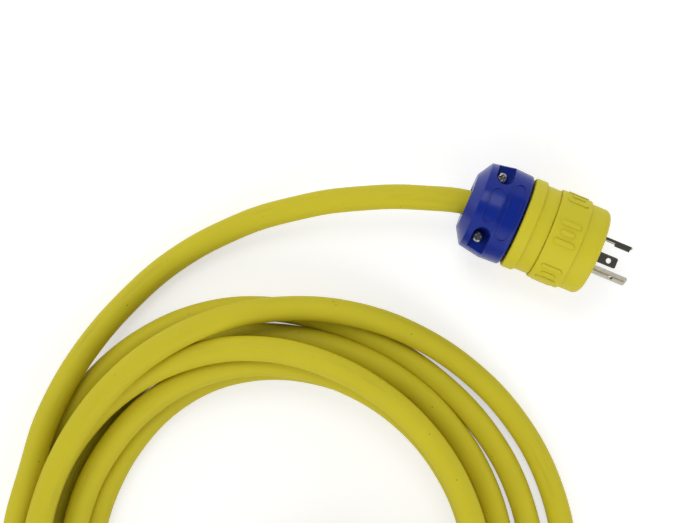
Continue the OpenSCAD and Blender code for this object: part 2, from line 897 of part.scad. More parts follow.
module strands(dirs) {
    color(copper)
        for (direction = dirs)
            outwards(0, direction)
                translate([tail_x - wire_gap, strand_side, strand_rise])
                    rotate([0, 90, 0]) cylinder(d = strand_d, h = tail_len - 4 * wire_gap);
}

// Each conductor swings from the jacket's end out to its terminal
function wire_route(direction) =
    let (
        start = cord_end_x,
        run = tail_x - wire_gap - cord_end_x,
        shape = [
            [0, 0, 0], [0.18, 0.04, 0.04], [0.4, 0.3, 0.3], [0.62, 0.68, 0.68],
            [0.84, 0.96, 0.96], [1, 1, 1]
        ]
    )
    [
        for (s = shape)
            let (
                rise = conductor_offset + s[1] * (strand_rise - conductor_offset),
                aside = s[2] * strand_side
            )
            [
                start + s[0] * run,
                rise * cos(direction) + aside * sin(direction),
                rise * sin(direction) - aside * cos(direction)
            ]
    ];

module wire(direction, colour) {
    color(colour) swept(wire_route(direction), conductor_d, wire_sides);
}

// ---- placing and the named pieces ----

module at_plug() {
    translate([plug_rear_x, 0, axis_z]) children();
}

module at_conn() {
    translate(conn_place) rotate([0, 0, conn_turn]) children();
}

module cord_coil() {
    color(jacket_yellow)
        translate([coil_x, coil_y, 0])
            rotate_extrude()
                polygon(rounded([
                    [coil_inner_r, 0, cord_r],
                    [coil_outer_r, 0, cord_r],
                    [coil_outer_r, coil_h, cord_d],
                    [coil_inner_r, coil_h, cord_d]
                ]));
}

module cord_lead() {
    color(jacket_yellow) swept(lead_route, cord_d, cord_sides);
}

module cord_tail() {
    color(jacket_yellow) swept(tail_route, cord_d, cord_sides);
}

at_plug() shell(plug_face_x, face_dirs);  // plug_shell
at_plug() plug_carrier();
at_plug() ground_blade();  // plug_ground_blade
at_plug() line_blade();  // plug_line_blade
at_plug() neutral_blade();  // plug_neutral_blade
at_plug() pole_screw(ground_dir, ground_green);  // plug_ground_screw
at_plug() pole_screw(line_dir, brass);  // plug_line_screw
at_plug() pole_screw(neutral_dir, screw_steel);  // plug_neutral_screw
at_plug() clamp_plates(pole_dirs);  // plug_clamp_plates
at_plug() wire(ground_dir, wire_green);  // plug_ground_wire
at_plug() wire(line_dir, wire_black);  // plug_line_wire
at_plug() wire(neutral_dir, wire_white);  // plug_neutral_wire
at_plug() strands(pole_dirs);  // plug_strands
at_plug() face_screws(plug_face_x, face_dirs);  // plug_face_screws
at_plug() inserts(face_dirs);  // plug_inserts
at_plug() seal();  // plug_seal
at_plug() cord_end();  // plug_cord_end
at_plug() grip_upper();  // plug_grip_upper
at_plug() grip_lower();  // plug_grip_lower
at_plug() grip_screws();  // plug_grip_screws
at_plug() grip_nuts();  // plug_grip_nuts
at_conn() shell(conn_face_x, conn_face_dirs);  // conn_shell
at_conn() conn_carrier();
at_conn() conn_core();
at_conn() contact(ground_dir, ground_half);  // conn_ground_contact
at_conn() contact(line_dir, power_half);  // conn_line_contact
at_conn() contact(neutral_dir, power_half);  // conn_neutral_contact
at_conn() pole_screw(facing(ground_dir), ground_green);  // conn_ground_screw
at_conn() pole_screw(facing(line_dir), brass);  // conn_line_screw
at_conn() pole_screw(facing(neutral_dir), screw_steel);  // conn_neutral_screw
at_conn() clamp_plates(conn_pole_dirs);  // conn_clamp_plates
at_conn() wire(facing(ground_dir), wire_green);  // conn_ground_wire
at_conn() wire(facing(line_dir), wire_black);  // conn_line_wire
at_conn() wire(facing(neutral_dir), wire_white);  // conn_neutral_wire
at_conn() strands(conn_pole_dirs);  // conn_strands
at_conn() face_screws(conn_face_x, conn_face_dirs);  // conn_face_screws
at_conn() inserts(conn_face_dirs);  // conn_inserts
at_conn() seal();  // conn_seal
at_conn() cord_end();  // conn_cord_end
at_conn() grip_upper();  // conn_grip_upper
at_conn() grip_lower();  // conn_grip_lower
at_conn() grip_screws();  // conn_grip_screws
at_conn() grip_nuts();  // conn_grip_nuts
cord_lead();
cord_coil();
cord_tail();
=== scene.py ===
"""Dresses a shore power cord: its jacket, cord grips, shells, blades and fasteners."""

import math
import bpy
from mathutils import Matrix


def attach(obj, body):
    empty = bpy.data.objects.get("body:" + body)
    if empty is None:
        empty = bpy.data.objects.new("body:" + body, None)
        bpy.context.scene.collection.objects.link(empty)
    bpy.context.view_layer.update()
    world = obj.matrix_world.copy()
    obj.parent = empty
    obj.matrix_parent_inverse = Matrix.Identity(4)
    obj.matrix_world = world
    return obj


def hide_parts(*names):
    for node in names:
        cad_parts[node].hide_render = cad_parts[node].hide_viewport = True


bl_info = {
    "name": "Shore Power Cord",
    "version": (1, 0, 0),
    "blender": (4, 5, 0),
    "location": "View3D > Sidebar > Shore Cord",
    "description": "Lays the cord and finishes its plug and connector on a white table",
    "category": "Object",
}

import bpy
import numpy as np
from bpy.props import FloatProperty, FloatVectorProperty, IntProperty, PointerProperty
from mathutils import Matrix, Vector

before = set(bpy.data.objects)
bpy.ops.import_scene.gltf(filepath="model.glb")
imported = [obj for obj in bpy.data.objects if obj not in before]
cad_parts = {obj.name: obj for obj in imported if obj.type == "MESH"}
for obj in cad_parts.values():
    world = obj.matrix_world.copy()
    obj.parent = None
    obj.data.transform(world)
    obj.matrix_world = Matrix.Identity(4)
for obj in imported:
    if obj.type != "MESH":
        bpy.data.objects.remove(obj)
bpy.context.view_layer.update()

MM = 0.001
BODY = "root"
ENDS = ("plug", "conn")
POLES = ("ground", "line", "neutral")

# The cord's route from the plug to the coil, the turns of the coil, and the run to the
# connector, in metres. The turns are radii from their own middle, one every 45 degrees.
LEAD = [
    (-0.0453, 0, 0.0314), (-0.0485, 0, 0.0314), (-0.0555, -0.001, 0.0314),
    (-0.0655, -0.003, 0.0314), (-0.0785, -0.0075, 0.031), (-0.0985, -0.0145, 0.03),
    (-0.1195, -0.024, 0.027), (-0.1415, -0.0355, 0.023), (-0.1625, -0.0495, 0.0185),
    (-0.1815, -0.064, 0.0145), (-0.1985, -0.081, 0.011), (-0.2125, -0.0975, 0.009),
    (-0.2255, -0.117, 0.0082), (-0.2365, -0.14, 0.009), (-0.2455, -0.165, 0.012),
    (-0.2515, -0.19, 0.017), (-0.2545, -0.216, 0.022), (-0.255, -0.243, 0.0246),
    (-0.2515, -0.27, 0.0246),
]
TAIL = [
    (-0.192, -0.322, 0.0082), (-0.1795, -0.342, 0.009), (-0.1605, -0.3565, 0.0115),
    (-0.138, -0.3635, 0.016), (-0.1145, -0.362, 0.0215), (-0.0975, -0.356, 0.0265),
    (-0.083, -0.3455, 0.03), (-0.0708, -0.334, 0.0314), (-0.0587, -0.3228, 0.0314),
]
COIL_MIDDLE = (-0.0825, -0.276)
COIL_FIRST, COIL_STEP, COIL_TILT = 150, 45, 22.8
COIL_START, COIL_END = 165, 2340
COIL_RADII = [
    0.1675, 0.163, 0.167, 0.181, 0.195, 0.1955, 0.1835, 0.168,
    0.1525, 0.1475, 0.15, 0.144, 0.14, 0.137, 0.1405, 0.151,
    0.154, 0.147, 0.144, 0.161, 0.158, 0.155, 0.154, 0.157,
    0.148, 0.1485, 0.166, 0.17, 0.177, 0.174, 0.168, 0.1765,
    0.1685, 0.163, 0.156, 0.152, 0.141, 0.136, 0.136, 0.1385,
    0.132, 0.1275, 0.131, 0.136, 0.137, 0.137, 0.136, 0.1335,
    0.1215, 0.1175,
]
# Stretches of the cord this close along it never rest on each other
CLEAR_RUN = 0.07
# The length over which the cord's stiffness evens out its rest heights
STIFF_LENGTH = 0.014
# How many turns, from the first, can reach the run that comes from the plug
LEAD_TURNS = 1.4
SETTLING_PASSES = 2
SMOOTHING_PASSES = 6

# The room: where its dark ceiling has its middle, and how far out it is dark and pale
CEILING_MIDDLE = (0.12, 0.13, 0.984)
CEILING_DARK, CEILING_PALE = math.radians(38), math.radians(48)
LAMP_AIM = Vector((-0.05, -0.12, 0.0))
TABLE_REACH = 4.0


def linear(hex_colour):
    """An sRGB hex colour as the linear values that the shaders work in."""
    channels = [int(hex_colour[i : i + 2], 16) / 255 for i in (1, 3, 5)]
    return [c / 12.92 if c <= 0.04045 else ((c + 0.055) / 1.055) ** 2.4 for c in channels]


def colour(name, description, hex_colour):
    return FloatVectorProperty(
        name=name, description=description, subtype="COLOR", size=3, min=0, max=1,
        default=linear(hex_colour),
    )


def length(name, description, millimetres):
    return FloatProperty(
        name=name, description=description, unit="LENGTH", subtype="DISTANCE", min=0,
        default=millimetres * MM,
    )


class ShoreCordJacket(bpy.types.PropertyGroup):
    """The jacketed cord."""

    diameter: length("Diameter", "Outside diameter of the jacket", 16.4)
    spacing: length("Layer spacing", "Distance at which one turn rests on another", 15.2)
    stiffness: length("Bend radius", "Upright bend radius of the cord where it climbs", 150)
    ring_step: length("Ring step", "Distance between two rings of the tube", 3.5)
    sides: IntProperty(name="Sides", description="Sides of the tube", default=36, min=12)
    lay_length: length("Lay", "Length in which the three conductors make a turn", 130)
    lobe: length("Lobe", "How far the conductors show through the jacket", 0.09)
    colour: colour("Jacket", "Colour of the jacket", "#CFC22C")


class ShoreCordMouldings(bpy.types.PropertyGroup):
    """The moulded parts of the plug and the connector."""

    shell: colour("Shell", "Colour of the elastomer shells", "#D1C52B")
    grip: colour("Grip", "Colour of the cord grips", "#122A8A")
    carrier: colour("Carrier", "Colour of the contact carriers", "#232427")
    seal: colour("Seal", "Colour of the rubber seals", "#1D1D1F")
    live: colour("Live", "Insulation of the line conductor", "#1B1B1D")
    neutral: colour("Neutral", "Insulation of the neutral conductor", "#E6E4DC")
    earth: colour("Ground", "Insulation of the ground conductor", "#2C7A3F")


class ShoreCordMetals(bpy.types.PropertyGroup):
    """The metal parts."""

    blade: colour("Blades", "Nickel-plated brass of the blades", "#B3AFA4")
    fastener: colour("Fasteners", "Zinc-plated steel of the screws and nuts", "#B4B4B0")
    brass: colour("Brass", "Bare brass of the contacts and the inserts", "#C0A24F")
    earth: colour("Ground screw", "Green chromate of the ground screw", "#2E7D46")
    copper: colour("Copper", "Bare copper strands", "#B8703F")


class ShoreCordStage(bpy.types.PropertyGroup):
    """The table, the lights and the camera."""

    lens: FloatProperty(
        name="Lens", description="Focal length of the camera", unit="CAMERA", default=65.83
    )
    camera: FloatVectorProperty(
        name="Camera", description="Place of the camera", subtype="XYZ", unit="LENGTH",
        default=(-0.09542, -0.10684, 0.86476),
    )
    heading: FloatProperty(
        name="Heading", description="Turn of the camera about the upright", subtype="ANGLE",
        default=math.radians(22.8),
    )
    tilt: FloatProperty(
        name="Tilt", description="Tilt of the camera from straight down", subtype="ANGLE",
        default=math.radians(3),
    )
    lamp_power: FloatProperty(
        name="Lamp", description="Power of the soft lamp over the table", unit="POWER",
        default=6.0,
    )
    fill_power: FloatProperty(
        name="Fill", description="Power of the large lamp low on the other side", unit="POWER",
        default=5.0,
    )
    ambient: FloatProperty(
        name="Ambient", description="Strength of the room's light", default=1.05
    )
    ceiling: FloatProperty(
        name="Ceiling", description="Strength of the dark part of the ceiling", default=0.12
    )
    floor: colour("Floor", "Colour of the table", "#D6D6D6")
    glow: FloatProperty(
        name="Table glow", description="White that the table adds for the camera and in metal",
        default=0.53,
    )


def settings():
    return bpy.context.scene.shore_cord


class ShoreCordSettings(bpy.types.PropertyGroup):
    """Everything that can be changed."""

    jacket: PointerProperty(type=ShoreCordJacket)
    mouldings: PointerProperty(type=ShoreCordMouldings)
    metals: PointerProperty(type=ShoreCordMetals)
    stage: PointerProperty(type=ShoreCordStage)


# ---- materials ----


def add_node(material, kind, inputs=None, **options):
    """Adds a node with its options. Each input is a value, or a socket to link from."""
    tree = material.node_tree
    made = tree.nodes.new(kind)
    for name, value in options.items():
        setattr(made, name, value)
    for name, value in (inputs or {}).items():
        if isinstance(value, bpy.types.NodeSocket):
            tree.links.new(value, made.inputs[name])
        else:
            made.inputs[name].default_value = value
    return made


def new_material(name):
    material = bpy.data.materials.new(name)
    material.use_nodes = True
    material.node_tree.nodes.clear()
    return material


def finish_surface(material, inputs):
    shader = add_node(material, "ShaderNodeBsdfPrincipled", inputs)
    add_node(material, "ShaderNodeOutputMaterial", {"Surface": shader.outputs["BSDF"]})
    return material


def per(millimetres):
    """Scale of a pattern whose features are this far apart."""
    return 1 / (millimetres * MM)


def rgba(values, gain=1.0):
    return (*[min(1.0, v * gain) for v in values], 1.0)


def extruded_elastomer_jacket(values):
    """Extruded thermoplastic elastomer: dull, with lines along it, a soft grain, hazy patches
    where it is handled, rubbed smudges and a few specks of dirt."""
    material = new_material("jacket_extruded_elastomer")
    place = add_node(material, "ShaderNodeTexCoord").outputs["Object"]
    unrolled = add_node(
        material, "ShaderNodeAttribute", attribute_name="unrolled"
    ).outputs["Vector"]
    # Lines drawn by the die, 1.4 mm apart and 90 mm long
    drawn = add_node(
        material, "ShaderNodeMapping", {"Vector": unrolled, "Scale": (1.0, 1.0, 0.015)}
    ).outputs["Vector"]
    lines = add_node(
        material, "ShaderNodeTexNoise",
        {"Vector": drawn, "Scale": per(1.4), "Detail": 2.0, "Roughness": 0.55},
    ).outputs["Fac"]
    # Orange-peel grain of the skin, 0.9 mm
    grain = add_node(
        material, "ShaderNodeTexNoise",
        {"Vector": place, "Scale": per(0.9), "Detail": 3.0, "Roughness": 0.55},
    ).outputs["Fac"]
    heights = add_node(
        material, "ShaderNodeMath", {0: lines, 1: grain}, operation="ADD"
    ).outputs["Value"]
    bump = add_node(
        material, "ShaderNodeBump", {"Height": heights, "Distance": 0.05 * MM, "Strength": 0.7}
    ).outputs["Normal"]
    # Hazy patches of handling, 35 mm apart, in colour and in gloss
    patches = add_node(
        material, "ShaderNodeTexNoise",
        {"Vector": place, "Scale": per(35), "Detail": 3.0, "Roughness": 0.55},
    ).outputs["Fac"]
    base = add_node(
        material, "ShaderNodeMix", {0: patches, 6: rgba(values, 0.94), 7: rgba(values, 1.05)},
        data_type="RGBA",
    ).outputs[2]
    gloss = add_node(
        material, "ShaderNodeMapRange",
        {"Value": patches, "From Min": 0.3, "From Max": 0.7, "To Min": 0.5, "To Max": 0.62},
    ).outputs["Result"]
    # Smudges that are rubbed along the cord, 7 mm wide and 70 mm long
    rubbed = add_node(
        material, "ShaderNodeMapping", {"Vector": unrolled, "Scale": (1.0, 1.0, 0.1)}
    ).outputs["Vector"]
    smudges = add_node(
        material, "ShaderNodeTexNoise",
        {"Vector": rubbed, "Scale": per(7), "Detail": 4.0, "Roughness": 0.55},
    ).outputs["Fac"]
    smudge = add_node(
        material, "ShaderNodeMapRange",
        {"Value": smudges, "From Min": 0.6, "From Max": 0.78, "To Min": 0.0, "To Max": 0.22},
    ).outputs["Result"]
    worn = add_node(
        material, "ShaderNodeMix", {0: smudge, 6: base, 7: rgba(linear("#8A7F33"))},
        data_type="RGBA",
    ).outputs[2]
    # Specks of dirt about 1 mm across and 11 mm apart
    cells = add_node(
        material, "ShaderNodeTexVoronoi", {"Vector": place, "Scale": per(11), "Randomness": 1.0}
    ).outputs["Distance"]
    speck = add_node(
        material, "ShaderNodeMapRange",
        {"Value": cells, "From Min": 0.03, "From Max": 0.055, "To Min": 0.6, "To Max": 0.0},
    ).outputs["Result"]
    dirty = add_node(
        material, "ShaderNodeMix", {0: speck, 6: worn, 7: rgba(linear("#4A4020"))},
        data_type="RGBA",
    ).outputs[2]
    return finish_surface(material, {
        "Base Color": dirty,
        "Roughness": gloss,
        "IOR": 1.5,
        "Specular IOR Level": 0.18,
        "Normal": bump,
    })


def moulded_surface(
    name, values, roughness, grain_mm, grain_depth, patch=0.06, specular=0.5, edge_mm=0.3
):
    """A moulded surface: soft edges, spark-eroded grain, and a colour that wanders a little
    over 14 mm, so that it isn't one flat tone."""
    material = new_material(name)
    edges = add_node(
        material, "ShaderNodeBevel", {"Radius": edge_mm * MM}, samples=6
    ).outputs["Normal"]
    place = add_node(material, "ShaderNodeTexCoord").outputs["Object"]
    grain = add_node(
        material, "ShaderNodeTexNoise",
        {"Vector": place, "Scale": per(grain_mm), "Detail": 4.0, "Roughness": 0.55},
    ).outputs["Fac"]
    bump = add_node(
        material, "ShaderNodeBump",
        {"Height": grain, "Distance": grain_depth * MM, "Strength": 0.8, "Normal": edges},
    ).outputs["Normal"]
    cloud = add_node(
        material, "ShaderNodeTexNoise",
        {"Vector": place, "Scale": per(14), "Detail": 3.0, "Roughness": 0.55},
    ).outputs["Fac"]
    base = add_node(
        material, "ShaderNodeMix",
        {0: cloud, 6: rgba(values, 1 - patch), 7: rgba(values, 1 + patch)}, data_type="RGBA",
    ).outputs[2]
    gloss = add_node(
        material, "ShaderNodeMapRange",
        {"Value": cloud, "From Min": 0.3, "From Max": 0.7, "To Min": roughness - 0.04,
         "To Max": roughness + 0.06},
    ).outputs["Result"]
    return finish_surface(material, {
        "Base Color": base,
        "Roughness": gloss,
        "IOR": 1.5,
        "Specular IOR Level": specular,
        "Normal": bump,
    })


def drawn_metal(
    name, values, roughness, line_mm, along=(1.0, 0.03, 1.0), tarnish="#6E675A", edge_mm=0.2
):
    """Plated or bare metal: soft edges, fine lines along one direction, and a tarnish in
    patches of 3.5 mm that dulls its shine."""
    material = new_material(name)
    place = add_node(material, "ShaderNodeTexCoord").outputs["Object"]
    stretched = add_node(
        material, "ShaderNodeMapping", {"Vector": place, "Scale": along}
    ).outputs["Vector"]
    lines = add_node(
        material, "ShaderNodeTexNoise",
        {"Vector": stretched, "Scale": per(line_mm), "Detail": 2.0, "Roughness": 0.55},
    ).outputs["Fac"]
    edges = add_node(
        material, "ShaderNodeBevel", {"Radius": edge_mm * MM}, samples=6
    ).outputs["Normal"]
    bump = add_node(
        material, "ShaderNodeBump",
        {"Height": lines, "Distance": 0.015 * MM, "Strength": 0.4, "Normal": edges},
    ).outputs["Normal"]
    cloud = add_node(
        material, "ShaderNodeTexNoise",
        {"Vector": place, "Scale": per(3.5), "Detail": 4.0, "Roughness": 0.55},
    ).outputs["Fac"]
    dull = add_node(
        material, "ShaderNodeMapRange",
        {"Value": cloud, "From Min": 0.52, "From Max": 0.72, "To Min": 0.0, "To Max": 0.3},
    ).outputs["Result"]
    base = add_node(
        material, "ShaderNodeMix", {0: dull, 6: rgba(values), 7: rgba(linear(tarnish))},
        data_type="RGBA",
    ).outputs[2]
    gloss = add_node(
        material, "ShaderNodeMapRange",
        {"Value": cloud, "From Min": 0.3, "From Max": 0.7, "To Min": roughness - 0.05,
         "To Max": roughness + 0.08},
    ).outputs["Result"]
    return finish_surface(material, {
        "Base Color": base,
        "Metallic": 1.0,
        "Roughness": gloss,
        "Normal": bump,
    })


def white_table(values, glow):
    """White laminate, laid: matt and even. It keeps the shadows, and the camera and the metal
    see it white."""
    material = new_material("table_white_laminate")
    paths = add_node(material, "ShaderNodeLightPath")
    seen = add_node(
        material, "ShaderNodeMath",
        {0: paths.outputs["Is Camera Ray"], 1: paths.outputs["Is Glossy Ray"]},
        operation="MAXIMUM",
    ).outputs["Value"]
    strength = add_node(
        material, "ShaderNodeMath", {0: seen, 1: glow}, operation="MULTIPLY"
    ).outputs["Value"]
    dull = add_node(material, "ShaderNodeBsdfDiffuse", {"Color": rgba(values)})
    lit = add_node(
        material, "ShaderNodeEmission", {"Color": (1, 1, 1, 1), "Strength": strength}
    )
    both = add_node(
        material, "ShaderNodeAddShader", {0: dull.outputs["BSDF"], 1: lit.outputs["Emission"]}
    )
    add_node(material, "ShaderNodeOutputMaterial", {"Surface": both.outputs["Shader"]})
    return material


def cover(material, *names):
    """Gives CAD nodes a finish."""
    for name in names:
        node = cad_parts[name]
        for slot in node.material_slots:
            slot.material = material


def both_ends(*parts):
    return [f"{end}_{part}" for end in ENDS for part in parts]


# ---- the cord ----


def through(points, per_span=6):
    """A smooth line through the points, with a few points on each span."""
    points = np.array(points, float)
    padded = np.vstack([2 * points[0] - points[1], points, 2 * points[-1] - points[-2]])
    line = []
    for a, b, c, d in zip(padded[:-3], padded[1:-2], padded[2:-1], padded[3:]):
        for t in np.arange(per_span) / per_span:
            line.append(
                0.5 * (2 * b + (c - a) * t + (2 * a - 5 * b + 4 * c - d) * t**2
                       + (3 * b - a - 3 * c + d) * t**3)
            )
    return np.array(line + [points[-1]])


def run_of(line):
    return np.r_[0, np.cumsum(np.linalg.norm(np.diff(line, axis=0), axis=1))]


def evenly(line, step):
    run = run_of(line)
    at = np.linspace(0, run[-1], int(round(run[-1] / step)) + 1)
    return np.stack([np.interp(at, run, line[:, k]) for k in range(3)], 1)


def coil_plan():
    """The turns seen from above, with a point every 5 degrees."""
    keys = through([(COIL_FIRST + COIL_STEP * i, r) for i, r in enumerate(COIL_RADII)], 24)
    angles = np.arange(COIL_START, COIL_END + 1, 5.0)
    radii = np.interp(angles, keys[:, 0], keys[:, 1])
    turned = np.radians(angles + COIL_TILT)
    x = COIL_MIDDLE[0] + radii * np.cos(turned)
    y = COIL_MIDDLE[1] + radii * np.sin(turned)
    return angles, np.c_[x, y]


def rest_height(here, there, gap, values):
    """Height at which each point would rest on another stretch, this far away along the cord."""
    spacing = values.spacing
    apart = np.hypot(here[:, None, 0] - there[None, :, 0], here[:, None, 1] - there[None, :, 1])
    touches = (apart < spacing) & (gap > CLEAR_RUN)
    rise = np.sqrt(np.maximum(spacing**2 - apart**2, 0)) * values.diameter / spacing
    return np.where(touches, there[None, :, 2] + rise, values.diameter / 2).max(1)


def settle_coil(angles, plan, lead, tail, values):
    """Lets the turns lie on each other, from the last one laid to the first."""
    run = run_of(plan)
    lead_run = run_of(lead[:, :2])
    lead_run -= lead_run[-1]
    tail_run = run[-1] + run_of(tail[:, :2])
    line = np.c_[plan, np.full(len(plan), values.diameter / 2)]
    raw = line[:, 2].copy()
    gap = run[:, None] - run[None]
    sag = gap**2 / (2 * values.stiffness)
    blur = np.exp(-(gap**2) / (2 * STIFF_LENGTH**2))
    blur /= blur.sum(1)[:, None]
    ends = np.maximum(
        lead[-1, 2] - (run - run[0]) ** 2 / (2 * values.stiffness),
        tail[0, 2] - (run[-1] - run) ** 2 / (2 * values.stiffness),
    )
    floor = np.maximum(ends, values.diameter / 2)
    per_turn = int(round(360 / (angles[1] - angles[0])))
    for _ in range(SETTLING_PASSES):
        for first in reversed(range(0, len(plan), per_turn)):
            turn = slice(first, first + per_turn)
            here, here_run = line[turn], run[turn, None]
            heights = [
                rest_height(here, tail, tail_run - here_run, values),
                rest_height(here, line[first:], run[first:] - here_run, values),
            ]
            if first < LEAD_TURNS * per_turn:
                heights.append(rest_height(here, lead, here_run - lead_run, values))
            raw[turn] = np.max(heights, axis=0)
            held = np.maximum((raw[None] - sag).max(1), floor)
            line[first:, 2] = (blur @ held)[first:]
    return line


def cord_line(values):
    lead, tail = through(LEAD), through(TAIL)
    angles, plan = coil_plan()
    coil = settle_coil(angles, plan, lead, tail, values)
    whole = np.vstack([lead[:-1], coil[:-1], tail])
    line = evenly(whole, values.ring_step)
    # The cord's own stiffness takes out what is left of the corners where the runs meet
    for _ in range(SMOOTHING_PASSES):
        line[2:-2] = (line[1:-3] + 2 * line[2:-2] + line[3:-1]) / 4
    return line


def cord_tube(name, line, values):
    """A jacket round the line. Its unrolled attribute is the place on the jacket if the
    cord were pulled straight."""
    run = run_of(line)
    heading = np.gradient(line, axis=0)
    heading /= np.linalg.norm(heading, axis=1)[:, None]
    side = np.cross([0, 0, 1.0], heading)
    side /= np.linalg.norm(side, axis=1)[:, None]
    up = np.cross(heading, side)
    sides, rings = values.sides, len(line)
    turn = 2 * math.pi * np.arange(sides) / sides
    lobes = values.lobe * np.cos(
        3 * (turn[None] - 2 * math.pi * run[:, None] / values.lay_length)
    )
    radius = values.diameter / 2 - values.lobe / 2 + lobes / 2
    points = (
        line[:, None]
        + (radius * np.cos(turn))[..., None] * side[:, None]
        + (radius * np.sin(turn))[..., None] * up[:, None]
    )
    around = np.arange(sides)
    rows = np.arange(rings - 1)[:, None] * sides
    ahead = (around + 1) % sides
    faces = np.stack(
        [rows + around, rows + ahead, rows + sides + ahead, rows + sides + around], 2
    ).reshape(-1, 4)
    caps = [list(range(sides - 1, -1, -1)), list(range((rings - 1) * sides, rings * sides))]
    mesh = bpy.data.meshes.new(name)
    mesh.from_pydata(points.reshape(-1, 3).tolist(), [], faces.tolist() + caps)
    unrolled = np.stack(
        [
            np.broadcast_to(values.diameter / 2 * np.cos(turn), (rings, sides)),
            np.broadcast_to(values.diameter / 2 * np.sin(turn), (rings, sides)),
            np.broadcast_to(run[:, None], (rings, sides)),
        ],
        2,
    )
    attribute = mesh.attributes.new("unrolled", "FLOAT_VECTOR", "POINT")
    attribute.data.foreach_set("vector", unrolled.astype(np.float32).ravel())
    mesh.shade_smooth()
    piece = bpy.data.objects.new(name, mesh)
    bpy.context.scene.collection.objects.link(piece)
    return piece


class SHORECORD_OT_cord(bpy.types.Operator):
    """Lay the jacketed cord from the plug through its coil to the connector"""

    bl_idname = "shore_cord.cord"
    bl_label = "Cord"

    def execute(self, context):
        values = settings().jacket
        line = cord_line(values)
        piece = cord_tube("cord_jacket", line, values)
        piece.data.materials.append(extruded_elastomer_jacket(values.colour))
        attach(piece, BODY)
        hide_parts("cord_lead", "cord_coil", "cord_tail")
        cover(piece.data.materials[0], *both_ends("cord_end"))
        return {"FINISHED"}


# ---- the plug and the connector ----


class SHORECORD_OT_grips(bpy.types.Operator):
    """Finish the two-part cord grips"""

    bl_idname = "shore_cord.grips"
    bl_label = "Cord grips"

    def execute(self, context):
        # Moulded nylon: deep blue and smooth, with a tight sheen along its rounded edges
        nylon = moulded_surface(
            "grip_moulded_nylon", settings().mouldings.grip, roughness=0.22, grain_mm=1.2,
            grain_depth=0.02, specular=0.2, edge_mm=0.5,
        )
        cover(nylon, *both_ends("grip_upper", "grip_lower"))
        return {"FINISHED"}


class SHORECORD_OT_shells(bpy.types.Operator):
    """Finish the elastomer shells"""

    bl_idname = "shore_cord.shells"
    bl_label = "Shells"

    def execute(self, context):
        # Moulded thermoplastic elastomer: dull and a little waxy, with wide soft edges
        elastomer = moulded_surface(
            "shell_moulded_elastomer", settings().mouldings.shell, roughness=0.55, grain_mm=0.6,
            grain_depth=0.03, patch=0.03, specular=0.25, edge_mm=0.9,
        )
        cover(elastomer, *both_ends("shell"))
        return {"FINISHED"}


class SHORECORD_OT_carriers(bpy.types.Operator):
    """Finish the contact carriers"""

    bl_idname = "shore_cord.carriers"
    bl_label = "Contact carriers"

    def execute(self, context):
        # Glass-filled nylon, moulded: near black and matt, with a fine pitted skin
        nylon = moulded_surface(
            "carrier_moulded_nylon", settings().mouldings.carrier, roughness=0.4, grain_mm=0.8,
            grain_depth=0.03,
        )
        cover(nylon, *both_ends("carrier"), "conn_core")
        return {"FINISHED"}


class SHORECORD_OT_blades(bpy.types.Operator):
    """Finish the plug's three blades"""

    bl_idname = "shore_cord.blades"
    bl_label = "Blades"

    def execute(self, context):
        # Nickel-plated rolled brass: bright grey, with rolling lines 0.25 mm apart along it
        nickel = drawn_metal(
            "blades_nickel_plated_brass", settings().metals.blade, roughness=0.16,
            line_mm=0.25, along=(0.04, 1.0, 1.0),
        )
        cover(nickel, *[f"plug_{pole}_blade" for pole in POLES])
        return {"FINISHED"}


class SHORECORD_OT_contacts(bpy.types.Operator):
    """Finish the connector's spring contacts and the threaded inserts"""

    bl_idname = "shore_cord.contacts"
    bl_label = "Contacts and inserts"

    def execute(self, context):
        # Bare rolled brass: warm, with a soft shine across its rolling lines
        brass = drawn_metal(
            "contacts_rolled_brass", settings().metals.brass, roughness=0.3, line_mm=0.25
        )
        cover(brass, *[f"conn_{pole}_contact" for pole in POLES], *both_ends("inserts"))
        return {"FINISHED"}


class SHORECORD_OT_fasteners(bpy.types.Operator):
    """Finish the screws, the nuts and the clamping plates"""

    bl_idname = "shore_cord.fasteners"
    bl_label = "Screws, nuts and plates"

    def execute(self, context):
        metals = settings().metals
        # Bright zinc plating on steel: small hard highlights on worn, rounded edges
        zinc = drawn_metal(
            "fasteners_zinc_plated_steel", metals.fastener, roughness=0.15, line_mm=0.3,
            along=(1.0, 1.0, 0.2), edge_mm=0.5,
        )
        cover(zinc, *both_ends(
            "grip_screws", "grip_nuts", "face_screws", "clamp_plates", "neutral_screw"
        ))
        # Turned brass: warm, with lines from the lathe
        brass = drawn_metal("line_screws_brass", metals.brass, roughness=0.3, line_mm=0.3)
        cover(brass, *both_ends("line_screw"))
        # Green chromate over zinc: a thin coloured film that still shines
        green = drawn_metal(
            "ground_screws_green_chromate", metals.earth, roughness=0.34, line_mm=0.3
        )
        cover(green, *both_ends("ground_screw"))
        return {"FINISHED"}


class SHORECORD_OT_wiring(bpy.types.Operator):
    """Finish the conductors inside the plug and the connector"""

    bl_idname = "shore_cord.wiring"
    bl_label = "Conductors"

    def execute(self, context):
        mouldings = settings().mouldings
        for pole, values in zip(POLES, (mouldings.earth, mouldings.live, mouldings.neutral)):
            # Extruded PVC: smooth, with a low gloss
            insulation = moulded_surface(
                f"{pole}_wire_extruded_pvc", values, roughness=0.35, grain_mm=1.2,
                grain_depth=0.02,
            )
            cover(insulation, *both_ends(f"{pole}_wire"))
        # Bare drawn copper: red and soft, with lines as coarse as its strands
        copper = drawn_metal(
            "strands_bare_copper", settings().metals.copper, roughness=0.34, line_mm=0.4
        )
        cover(copper, *both_ends("strands"))
        return {"FINISHED"}


